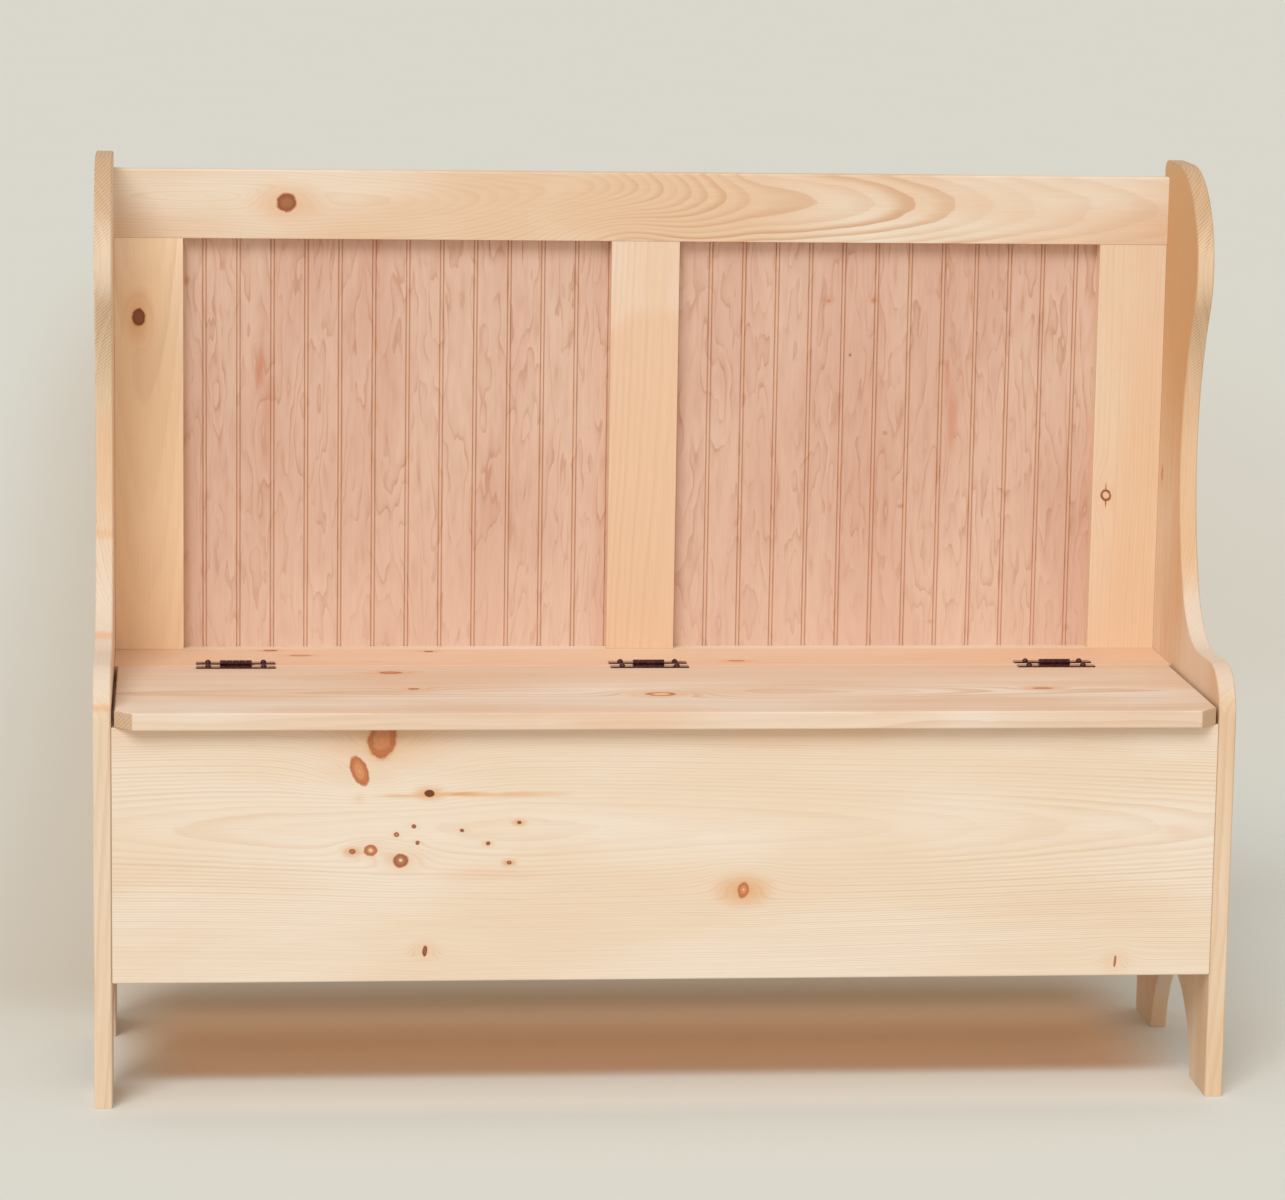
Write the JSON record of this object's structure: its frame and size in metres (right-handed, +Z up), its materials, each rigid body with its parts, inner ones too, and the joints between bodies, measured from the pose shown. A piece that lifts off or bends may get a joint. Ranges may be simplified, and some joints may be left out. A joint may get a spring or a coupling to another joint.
{
  "type": "storage bench",
  "caption": "High-backed wooden storage bench with scroll-cut ends, a beaded panel back and a hinged seat lid over a chest.",
  "frame": {"origin": "on the floor, under the middle of the bench's box, the lid's front overhang included", "axes": "+X to the right of someone who faces the bench, +Y from the front to the back, +Z up"},
  "size_m": [1.2192, 0.4, 0.9885],
  "materials": {
    "pine": "sanded, unfinished knotty pine",
    "beaded_plywood": "sanded, unfinished beaded plywood with a pinkish face veneer",
    "plain_plywood": "sanded, unfinished plywood",
    "black_iron": "black enamel, slightly glossy",
    "beech": "plain planed beech"
  },
  "bodies": {
    "bench": {"side_panel_left": "pine", "side_panel_right": "pine", "back_top_rail": "pine", "back_stile_left": "pine", "back_stile_centre": "pine", "back_stile_right": "pine", "back_seat_rail": "pine", "back_bottom_rail": "pine", "seat_strip": "pine", "front_panel": "pine", "floor_cleat_front": "pine", "floor_cleat_rear": "pine", "floor_cleat_left": "pine", "floor_cleat_right": "pine", "seat_cleat_left": "pine", "seat_cleat_right": "pine", "seat_cleat_rear": "pine", "beadboard_panel_left": "beaded_plywood", "beadboard_panel_right": "beaded_plywood", "chest_back_panel": "plain_plywood", "chest_floor": "plain_plywood", "hinge_fixed_leaf_left": "black_iron", "hinge_fixed_leaf_centre": "black_iron", "hinge_fixed_leaf_right": "black_iron", "hinge_pin_left": "black_iron", "hinge_pin_centre": "black_iron", "hinge_pin_right": "black_iron", "frame_tenons": "beech", "side_tenons": "beech"},
    "lid": {"seat_lid": "pine", "lid_batten_left": "pine", "lid_batten_right": "pine", "hinge_lid_leaf_left": "black_iron", "hinge_lid_leaf_centre": "black_iron", "hinge_lid_leaf_right": "black_iron"}
  },
  "joints": [
    {"name": "lid_hinge", "type": "hinge", "parent": "bench", "child": "lid", "pos_m": [0, 0.07337, 0.435], "axis": [-1, 0, 0], "range_deg": [0, 112]}
  ]
}
